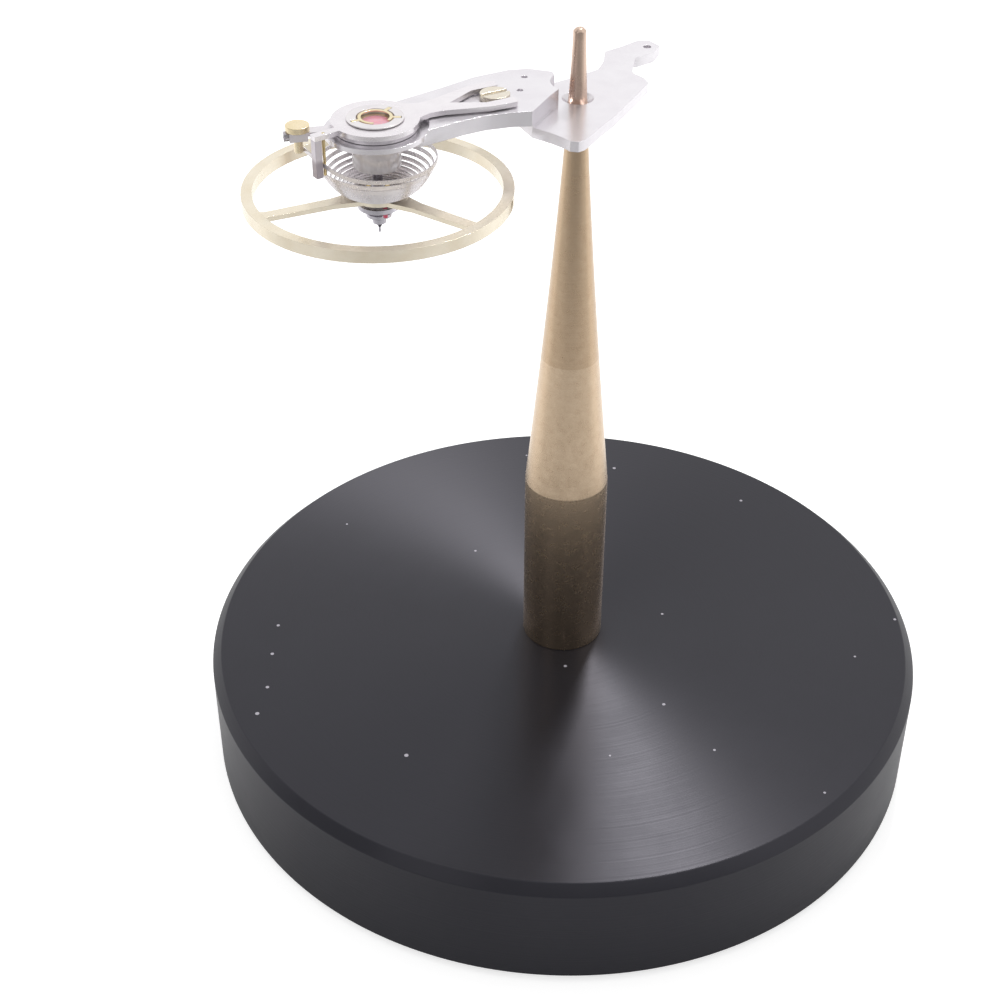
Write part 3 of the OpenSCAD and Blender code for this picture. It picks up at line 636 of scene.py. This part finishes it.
def eased(node: str, name: str, edge_mm: float, finish: bpy.types.Material) -> bpy.types.Object:
    """Copies a solid's shape and breaks its sharp edges with small rounds.

    Args:
        node: The CAD node.
        name: Name of the new piece.
        edge_mm: Width of the rounds.
        finish: Its material.

    Returns:
        The finished piece.
    """
    work = bmesh.new()
    work.from_mesh(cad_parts[node].data)
    bmesh.ops.scale(work, vec=(1 / MM,) * 3, verts=work.verts)
    bmesh.ops.remove_doubles(work, verts=work.verts, dist=2e-4)
    bmesh.ops.dissolve_degenerate(work, dist=1e-5, edges=work.edges)
    bmesh.ops.dissolve_limit(work, angle_limit=math.radians(0.6), verts=work.verts, edges=work.edges)
    mesh = bpy.data.meshes.new(name)
    work.to_mesh(mesh)
    work.free()
    # The CAD mesh's own corner normals belong to its triangles, so they go
    if "custom_normal" in mesh.attributes:
        mesh.attributes.remove(mesh.attributes["custom_normal"])
    mesh.polygons.foreach_set("use_smooth", [True] * len(mesh.polygons))
    obj = plain_object(name, mesh)
    bevel = obj.modifiers.new("rounds", "BEVEL")
    bevel.width = edge_mm
    bevel.segments = 2
    bevel.limit_method = "ANGLE"
    # Edges flatter than this stay as they are
    bevel.angle_limit = math.radians(32.0)
    bevel.use_clamp_overlap = True
    bevel.loop_slide = False
    bevel.harden_normals = True
    piece = settle(obj, name)
    piece.data.materials.clear()
    piece.data.materials.append(finish)
    return piece


def rounded(corners: Sequence[tuple[float, float, float]]) -> list[tuple[float, float]]:
    """Draws a profile with small rounds in its corners.

    Args:
        corners: Radius, height and size of round of each corner, in millimetres.

    Returns:
        The profile's points.
    """
    steps = 3
    points: list[tuple[float, float]] = []
    last = len(corners) - 1
    for i, (r, z, size) in enumerate(corners):
        if size <= 0 or i in (0, last):
            points.append((r, z))
            continue
        here = Vector((r, z))
        back = (Vector(corners[i - 1][:2]) - here).normalized()
        on = (Vector(corners[i + 1][:2]) - here).normalized()
        for k in range(steps + 1):
            t = k / steps
            # A quadratic curve from one side of the corner to the other
            spot = here + back * size * (1 - t) ** 2 + on * size * t ** 2
            points.append((spot.x, spot.y))
    return points


def place_piece(obj: bpy.types.Object, body: str, slot: str, *nodes: str) -> None:
    """Lets a finished piece ride on its body, and hides the nodes that it stands for."""
    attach(obj, body)
    if nodes:
        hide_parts(*nodes)
    log.info("%s: %d faces, rides on %s", obj.name, len(obj.data.polygons), body)


def dress(node: str, name: str, edge_mm: float, finish: bpy.types.Material, body: str, slot: str) -> None:
    """Builds an eased piece for a CAD node and lets it ride on its body."""
    place_piece(eased(node, name, edge_mm, finish), body, slot, node)


@dataclass
class Holder:
    """The turned base, the post with its needle, and the screw that joins them.

    Attributes:
        base_d: Diameter of the base.
        base_h: Its thickness.
        base_edge: Width and height of its chamfers.
        post_d: Diameter of the post's plain cylinder.
        plain_h: Height of that cylinder above the base.
        needle_h: Height of the taper.
        tip_d: Diameter at the needle's tip.
        taper_power: How hollow the taper is.
        tip_edge: Chamfer at the tip.
        screw_hole_d: Diameter of the recess for the screw's head.
        screw_hole_h: Its depth.
        shank_hole_d: Diameter of the hole for the screw's shank.
        spigot_d: Diameter of the post's spigot in the base.
        spigot_h: Its length.
        taper_steps: Number of steps that draw the taper.
        turned: The form that turns the pieces.
    """

    base_d: float = 35.0
    base_h: float = 6.0
    base_edge: float = 0.45
    post_d: float = 3.9
    plain_h: float = 9.2
    needle_h: float = 22.1
    tip_d: float = 0.54
    taper_power: float = 1.3
    tip_edge: float = 0.12
    screw_hole_d: float = 4.2
    screw_hole_h: float = 1.6
    shank_hole_d: float = 2.4
    spigot_d: float = 2.9
    spigot_h: float = 1.5
    taper_steps: int = 60
    turned: TurnedForm = field(default_factory=TurnedForm)

    def base_profile(self) -> list[tuple[float, float]]:
        """Gives the base's section, from the bore's top round to the same point."""
        r, h, e, ease = self.base_d / 2, self.base_h, self.base_edge, 0.05
        bore = self.spigot_d / 2 + 0.01
        shank, hole = self.shank_hole_d / 2, self.screw_hole_d / 2
        return rounded([(bore, h, 0), (bore, h - self.spigot_h, 0.02), (shank, h - self.spigot_h, 0.02),
                        (shank, self.screw_hole_h, 0.05), (hole, self.screw_hole_h, 0.02), (hole, 0, 0.08),
                        (r - e, 0, ease), (r, e, ease), (r, h - e, ease), (r - e, h, ease), (bore, h, 0)])

    def post_profile(self) -> list[tuple[float, float]]:
        """Gives the post's section, from the axis at the spigot's end to the axis at the tip."""
        r, tip = self.post_d / 2, self.tip_d / 2
        bottom, low = self.base_h - self.spigot_h, self.base_h
        top = low + self.plain_h
        length = self.needle_h - self.tip_edge
        lead = 0.04
        start = rounded([(0, bottom, 0), (self.spigot_d / 2, bottom, 0.05), (self.spigot_d / 2, low, 0),
                         (r, low, 0.06), (r, top - lead, 0)])
        taper = [(tip + (r - tip) * (1 - t) ** self.taper_power, top + length * t)
                 for t in [0, lead / length] + [i / self.taper_steps for i in range(1, self.taper_steps)]]
        end = rounded([(taper[-1][0], taper[-1][1], 0), (tip, top + length, 0.03),
                       (tip - self.tip_edge, top + self.needle_h, 0.02), (0, top + self.needle_h, 0)])
        return start + taper + end[1:]

    def build(self) -> None:
        """Builds and dresses the holder's pieces."""
        # Black anodised aluminium, fine turned: near-black, with a bow-tie streak of light across the turning marks
        black = AnodisedFinish("black_anodised_turned_aluminium").make()
        # The chamfer is cut last and anodised with the rest; it has no turning streak. Its slightly darker skin and
        # much weaker reflection are painted shade, for the dark front that it faces
        chamfer = AnodisedFinish("black_anodised_chamfer", skin="#0D0D10", bloom="#121215", roughness=0.3,
                                 stretch=0.0, gloss=0.13).make()
        base = self.turned.turn("base_turned", self.base_profile(), 256, black)
        base.data.materials.append(chamfer)
        for face in base.data.polygons:
            if 0.3 < abs(face.normal.z) < TOP_FACE and face.center.xy.length > self.base_d * 0.45 * MM:
                face.material_index = 1
        place_piece(base, "holder", "black_anodised", "base")
        # Brass, fine turned and handled: warm, softly glossy, browner near the needle's tip
        brass = PostBrassFinish("turned_brass_post").make()
        # The same brass on the plain cylinder, where fingers hold it: darker, mottled, with a dusty film at its sides
        held = PostBrassFinish("handled_cylinder_brass", colour="#CDB9A8", dull="#A1907F", roughness=0.15,
                               stretch=0.7, haze=0.9, fleck_mm=1.5).make()
        post = self.turned.turn("post_turned", self.post_profile(), 160, brass)
        post.data.materials.append(held)
        plain_top = (self.base_h + self.plain_h) * MM
        for face in post.data.polygons:
            on_cylinder = face.center.xy.length > self.post_d * 0.49 * MM and face.center.z < plain_top
            if on_cylinder and abs(face.normal.z) < 0.1:
                face.material_index = 1
        place_piece(post, "holder", "turned_brass", "column")
        # Screw steel, turned and tumbled: grey, dull in its slot
        steel = MetalFinish("turned_screw_steel", "#A19E9A", "#7E7B78", 0.32, grain=Grain.TURNED).make()
        dress("base_screw", "base_screw_eased", 0.05, steel, "holder", "screw_steel")


@dataclass
class Bridge:
    """The balance cock that drops onto the needle, and its steady pins.

    Attributes:
        plate_edge: Width of the rounds on the cock's edges.
        pin_edge: Width of those on the pins.
    """

    plate_edge: float = 0.05
    pin_edge: float = 0.05

    def build(self) -> None:
        """Builds and dresses the cock and its pins."""
        # Rhodium-plated brass, finely frosted: bright, cool, and soft in its reflections
        plate = MetalFinish("frosted_rhodium_plate", "#E6E3E7", "#DEDADF", 0.23, dulling=0.02, grain=Grain.FROSTED,
                            mark_mm=0.05, mark_depth=0.006, bare=0.78).make()
        dress("cock", "cock_plate", self.plate_edge, plate, "cock", "bright_plate")
        # Hardened steel pins, polished
        pin = MetalFinish("polished_pin_steel", "#C9C6CC", "#AFACB3", 0.16).make()
        dress("steady_pins", "steady_pins_eased", self.pin_edge, pin, "cock", "polished_steel")


@dataclass
class ShockSetting:
    """The block in the cock's head with its jewels and lyre spring.

    Attributes:
        centre: The balance axis, as x and y in millimetres.
    """

    centre: tuple[float, float]

    def build(self) -> None:
        """Builds and dresses the setting's pieces."""
        # Nickel-plated brass, turned: pale, slightly warm
        plated = MetalFinish("turned_nickel_setting", "#E9E5E6", "#DDD8DB", 0.17, dulling=0.03, grain=Grain.TURNED,
                             centre_mm=self.centre, bare=0.6).make()
        dress("shock_block", "shock_block_eased", 0.02, plated, "cock", "setting_plate")
        # Gilt brass, fine and bright
        gilt = MetalFinish("gilt_setting_cup", "#EBDDBB", "#DDCBA2", 0.2, dulling=0.05).make()
        dress("chaton", "chaton_eased", 0.015, gilt, "cock", "gilt")
        # Synthetic ruby, polished
        ruby = RubyFinish("synthetic_ruby").make()
        dress("hole_jewel", "hole_jewel_eased", 0.015, ruby, "cock", "ruby")
        dress("cap_jewel", "cap_jewel_eased", 0.015, ruby, "cock", "ruby")
        # Gold-coloured spring alloy, polished: small warm glints
        gold = MetalFinish("gold_spring_alloy", "#F3E7C6", "#EAD8AA", 0.12, dulling=0.04).make()
        dress("shock_spring", "shock_spring_eased", 0.01, gold, "cock", "spring_gold")


@dataclass
class Regulator:
    """The index with its forked tail, the curb pin and boot, and the fine adjuster.

    Attributes:
        centre: The balance axis, as x and y in millimetres.
        adjuster: The adjuster's axis, as x and y in millimetres.
        tail_deg: Direction of the tail.
    """

    centre: tuple[float, float]
    adjuster: tuple[float, float]
    tail_deg: float = 30.5

    def build(self) -> None:
        """Builds and dresses the regulator's pieces."""
        # Steel, finely brushed along the tail
        brushed = MetalFinish("brushed_index_steel", "#ECE8EB", "#E1DCE0", 0.2, dulling=0.06, grain=Grain.BRUSHED,
                              mark_mm=0.05, mark_depth=0.02, brush_deg=self.tail_deg, bare=0.78).make()
        dress("regulator_index", "index_eased", 0.03, brushed, "index", "index_steel")
        # Gilt brass pin
        gilt = MetalFinish("gilt_curb_pin", "#E6D3A4", "#D6BE86", 0.2).make()
        dress("curb_pin", "curb_pin_eased", 0.015, gilt, "index", "gilt")
        # Steel boot, bright above and oxidised dark over its lower half
        dark = MetalFinish("oxidised_boot_steel", "#D5CFD5", "#C4BDC4", 0.3, grain=Grain.BRUSHED,
                           dipped="#A8A0A7", dip_mm=(34.1, 34.35), bare=0.6).make()
        dress("curb_boot", "curb_boot_eased", 0.03, dark, "index", "dark_steel")
        # Brass eccentric screw, turned and lightly plated
        brass = MetalFinish("turned_adjuster_brass", "#E6DFD2", "#D8CFBF", 0.2, dulling=0.05, grain=Grain.TURNED,
                            centre_mm=self.adjuster, bare=0.75).make()
        dress("fine_adjuster", "adjuster_eased", 0.03, brass, "adjuster", "adjuster_brass")


@dataclass
class StudCarrier:
    """The carrier with its stud and screw, and the hairspring that hangs from the stud.

    Attributes:
        centre: The balance axis, as x and y in millimetres.
        turns: Number of turns.
        rim_z: Height of the spring's rim.
        inner_z: Height of its inner end.
        outer_r: Radius of the outer turn.
        inner_r: Radius of the inner end.
        start_deg: Direction of the stud.
        stud_rise: How far the outer end rises to the stud.
        bend_out: How far it bends outwards to the stud.
        strip_w: Thickness of the strip.
        strip_h: Height of the strip.
        bowl_power: How flat the bowl's bottom is.
        bend_deg: Angle over which the outer end bends outwards.
        rise_deg: Angle over which it rises.
    """

    centre: tuple[float, float]
    turns: float = 13.2
    rim_z: float = 33.784
    inner_z: float = 32.244
    outer_r: float = 2.45
    inner_r: float = 0.51
    start_deg: float = 196.0
    stud_rise: float = 0.5
    bend_out: float = 0.395
    strip_w: float = 0.045
    strip_h: float = 0.17
    bowl_power: float = 3.0
    bend_deg: float = 34.0
    rise_deg: float = 80.0

    def spring(self) -> None:
        """Winds the hairspring round the balance axis and hides the CAD spring that it stands for."""
        # Tempered spring alloy, bare: fine, pale and bright
        alloy = MetalFinish("bare_spring_alloy", "#E4E0E2", "#D6D1D4", 0.22, dulling=0.05, mark_mm=0.1,
                            bare=0.7).make()
        sizes = {"Outer radius": self.outer_r, "Inner radius": self.inner_r, "Rim height": self.rim_z,
                 "Inner height": self.inner_z, "Bend out": self.bend_out, "Stud rise": self.stud_rise,
                 "Strip width": self.strip_w, "Strip height": self.strip_h, "Turns": self.turns,
                 "Bowl power": self.bowl_power, "Start angle": math.radians(self.start_deg),
                 "Bend angle": math.radians(self.bend_deg), "Rise angle": math.radians(self.rise_deg)}
        spring = settle(HairspringForm().wind("hairspring_form", sizes, alloy), "hairspring_ribbon")
        x, y = self.centre[0] * MM, self.centre[1] * MM
        spring.data.transform(Matrix.Translation((x, y, 0.0)))
        outward(spring)
        shade(spring, 40.0)
        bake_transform(spring)
        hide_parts("hairspring")
        log.info("%s: %d faces, bends from carrier to balance", spring.name, len(spring.data.polygons))

    def build(self) -> None:
        """Builds and dresses the carrier's pieces."""
        # Steel, plated and finely frosted
        steel = MetalFinish("frosted_carrier_steel", "#E6E2E6", "#DAD5DA", 0.22, dulling=0.03, grain=Grain.FROSTED,
                            mark_mm=0.05, bare=0.65).make()
        dress("stud_carrier", "carrier_eased", 0.025, steel, "carrier", "carrier_steel")
        # Gilt brass stud, turned
        gilt = MetalFinish("gilt_stud_brass", "#F2E3C4", "#E6D3A8", 0.2, dulling=0.05, bare=0.75).make()
        dress("stud", "stud_eased", 0.03, gilt, "carrier", "stud_gilt")
        # Polished steel screw
        bright = MetalFinish("polished_screw_steel", "#CFCBD1", "#B2AEB5", 0.15).make()
        dress("stud_screw", "stud_screw_eased", 0.02, bright, "carrier", "polished_steel")
        self.spring()


@dataclass
class Balance:
    """The balance wheel on its staff, with the collet, the roller and the impulse jewel.

    Attributes:
        centre: The balance axis, as x and y in millimetres.
    """

    centre: tuple[float, float]

    def build(self) -> None:
        """Builds and dresses the balance's pieces."""
        # Beryllium bronze with a pale gilt skin, turned: soft yellow-pink
        gilt = MetalFinish("gilt_beryllium_bronze", "#EEE5D2", "#E6DAC3", 0.22, dulling=0.02, grain=Grain.TURNED,
                           mark_mm=0.07, mark_depth=0.005, centre_mm=self.centre, bare=0.7).make()
        dress("balance_wheel", "wheel_eased", 0.04, gilt, "balance", "wheel_gilt")
        # Gilt brass collet
        brass = MetalFinish("gilt_collet_brass", "#E2CC99", "#D2B87E", 0.2, dulling=0.05).make()
        dress("collet", "collet_eased", 0.02, brass, "balance", "gilt")
        # Hardened steel, polished
        steel = MetalFinish("polished_arbor_steel", "#C4C1C8", "#A9A6AD", 0.13).make()
        dress("staff", "staff_eased", 0.012, steel, "balance", "polished_steel")
        dress("roller", "roller_eased", 0.012, steel, "balance", "polished_steel")
        # Synthetic ruby, ground round
        ruby = RubyFinish("ground_ruby", "#C93A5C", "#9A1C3E").make()
        dress("impulse_jewel", "impulse_jewel_eased", 0.015, ruby, "balance", "ruby")


@dataclass
class Studio:
    """The plain floor, the soft light and the camera.

    Attributes:
        sky: Strength of the light from all sides.
        dim_side: Direction of the side whose reflections are dimmer.
        dim_to: How bright those are.
        key_strength: Power of the compact lamp behind and above.
        key_mm: Place of that lamp.
        key_size_mm: Its width.
        fill_strength: Power of the broad lamp in front.
        fill_mm: Place of that lamp.
        fill_size_mm: Its width.
        camera_mm: Place of the camera.
        yaw_deg: How far it looks to the right of the Y axis.
        down_deg: How far it looks down.
        roll_deg: How far it is rolled.
        focal_px: Focal length in pixels of the image.
        sensor_mm: Width of the sensor.
    """

    sky: float = 0.82
    dim_side: tuple[float, float, float] = (-0.34, -0.94, 0.0)
    dim_to: float = 0.42
    key_strength: float = 0.2
    key_mm: tuple[float, float, float] = (30.0, 122.0, 215.0)
    key_size_mm: float = 30.0
    fill_strength: float = 0.12
    fill_mm: tuple[float, float, float] = (-260.0, -330.0, 300.0)
    fill_size_mm: float = 260.0
    camera_mm: tuple[float, float, float] = (0.0, -69.07, 64.28)
    yaw_deg: float = -2.59
    down_deg: float = 36.20
    roll_deg: float = 0.20
    focal_px: float = 1785.4
    sensor_mm: float = 36.0

    def seen_directly(self, tree: bpy.types.NodeTree) -> bpy.types.Node:
        """Gives 1 for rays from the camera, off a glossy surface or through a clear one, and 0 for the rest."""
        rays = add_node(tree, "ShaderNodeLightPath").outputs
        shiny = maths(tree, "MAXIMUM", rays["Is Camera Ray"], rays["Is Glossy Ray"])
        return maths(tree, "MAXIMUM", shiny, rays["Is Transmission Ray"])

    def light(self) -> None:
        """Makes the world and the two lamps."""
        world = bpy.data.worlds.new("pale_studio")
        bpy.context.scene.world = world
        world.use_nodes = True
        tree = world.node_tree
        back = tree.nodes["Background"]
        strength = remap(tree, self.seen_directly(tree), 0.0, 1.0, self.sky, 1.0)
        # Reflections of the side where the photographer stands are dimmer, except of what is nearly overhead
        toward = add_node(tree, "ShaderNodeTexCoord").outputs["Object"]
        level = vectors(tree, "NORMALIZE", vectors(tree, "MULTIPLY", toward, LEVEL))
        side = vectors(tree, "DOT_PRODUCT", level, self.dim_side).outputs["Value"]
        across = remap(tree, side, 0.1, 0.5, smooth=True)
        below = remap(tree, part_of(tree, toward), 0.97, 0.8, smooth=True)
        dim = remap(tree, maths(tree, "MULTIPLY", across, below), 0.0, 1.0, 1.0, self.dim_to)
        shiny = add_node(tree, "ShaderNodeLightPath").outputs["Is Glossy Ray"]
        share = remap(tree, shiny, 0.0, 1.0, 1.0, dim)
        set_inputs(tree, back, {"Color": (1.0, 1.0, 1.0, 1.0),
                                "Strength": maths(tree, "MULTIPLY", strength, share)})
        for name, place, size, power in (("key", self.key_mm, self.key_size_mm, self.key_strength),
                                         ("fill", self.fill_mm, self.fill_size_mm, self.fill_strength)):
            lamp = bpy.data.lights.new(name, "AREA")
            lamp.shape = "DISK"
            lamp.size = size * MM
            lamp.energy = power
            obj = bpy.data.objects.new(name, lamp)
            bpy.context.scene.collection.objects.link(obj)
            spot = Vector(place) * MM
            aim = (Vector((0.0, 0.0, 0.01)) - spot).to_track_quat("-Z", "Y")
            obj.matrix_world = Matrix.Translation(spot) @ aim.to_matrix().to_4x4()

    def floor(self) -> None:
        """Lays the pale floor, which looks white and keeps the object's soft shadow."""
        half, low = 0.9, -2e-5
        mesh = bpy.data.meshes.new("floor")
        mesh.from_pydata([(-half, -half, low), (half, -half, low), (half, half, low), (-half, half, low)], [],
                         [(0, 1, 2, 3)])
        floor = plain_object("floor", mesh)
        material = bpy.data.materials.new("pale_floor")
        material.use_nodes = True
        tree = material.node_tree
        tree.nodes.remove(tree.nodes["Principled BSDF"])
        matt = add_node(tree, "ShaderNodeBsdfDiffuse", {"Color": linear("#DCDCDC")})
        glow = add_node(tree, "ShaderNodeEmission", {"Color": linear("#FFFFFF"), "Strength": 0.62})
        lit = add_node(tree, "ShaderNodeAddShader", {0: matt, 1: glow})
        both = add_node(tree, "ShaderNodeMixShader", {0: self.seen_directly(tree), 1: matt, 2: lit})
        # In reflections only, the floor has painted shade that darkens it towards the photographer, and it glows
        # whitest behind the object's middle
        ahead = part_of(tree, add_node(tree, "ShaderNodeTexCoord").outputs["Object"], "Y")
        far = remap(tree, ahead, -0.08, -0.055, 0.4, 0.86, smooth=True)
        shade_of_floor = add_node(tree, "ShaderNodeCombineColor", {0: far, 1: far, 2: far})
        dimmer = add_node(tree, "ShaderNodeBsdfDiffuse", {"Color": shade_of_floor})
        rise = remap(tree, ahead, -0.02, 0.012, 0.0, 0.34, smooth=True)
        spread = add_node(tree, "ShaderNodeEmission", {"Color": linear("#FFFFFF"), "Strength": rise})
        mirrored = add_node(tree, "ShaderNodeAddShader", {0: dimmer, 1: spread})
        shiny = add_node(tree, "ShaderNodeLightPath").outputs["Is Glossy Ray"]
        both = add_node(tree, "ShaderNodeMixShader", {0: shiny, 1: both, 2: mirrored})
        tree.links.new(both.outputs[0], tree.nodes["Material Output"].inputs["Surface"])
        mesh.materials.append(material)
        floor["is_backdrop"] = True

    def camera(self) -> None:
        """Sets the camera at the photograph's angle."""
        yaw, down, roll = (math.radians(a) for a in (self.yaw_deg, self.down_deg, self.roll_deg))
        ahead = Vector((math.sin(yaw) * math.cos(down), math.cos(yaw) * math.cos(down), -math.sin(down)))
        right = Vector((math.cos(yaw), -math.sin(yaw), 0.0))
        up = right.cross(ahead)
        right, up = (right * math.cos(roll) + up * math.sin(roll), up * math.cos(roll) - right * math.sin(roll))
        lens = bpy.data.cameras.new("camera")
        lens.sensor_width = self.sensor_mm
        lens.lens = self.sensor_mm * self.focal_px / IMAGE_WIDTH
        lens.clip_start = 0.001
        lens.clip_end = 10.0
        obj = bpy.data.objects.new("camera", lens)
        bpy.context.scene.collection.objects.link(obj)
        obj.matrix_world = (Matrix.Translation(Vector(self.camera_mm) * MM)
                            @ Matrix((right, up, -ahead)).transposed().to_4x4())
        bpy.context.scene.camera = obj

    def build(self) -> None:
        """Builds the studio."""
        self.camera()
        self.light()
        self.floor()
        bpy.context.scene.view_settings.view_transform = "Standard"


def corners() -> list[list[float]]:
    """Gives the shown object's lowest and highest corners as plain lists."""
    return [[float(v) for v in corner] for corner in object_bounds()]


def main() -> None:
    """Builds the whole scene."""
    logging.basicConfig(level=logging.INFO, format="%(message)s")
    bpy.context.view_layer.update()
    balance_axis = (-7.8408, -4.6186)
    adjuster_axis = (-3.4896, -2.0555)
    Studio().build()
    for part in (Holder(), Bridge(), ShockSetting(balance_axis), Regulator(balance_axis, adjuster_axis),
                 StudCarrier(balance_axis), Balance(balance_axis)):
        part.build()
        log.info("%s built", type(part).__name__)
    bpy.context.view_layer.update()


if __name__ == "__main__":
    main()
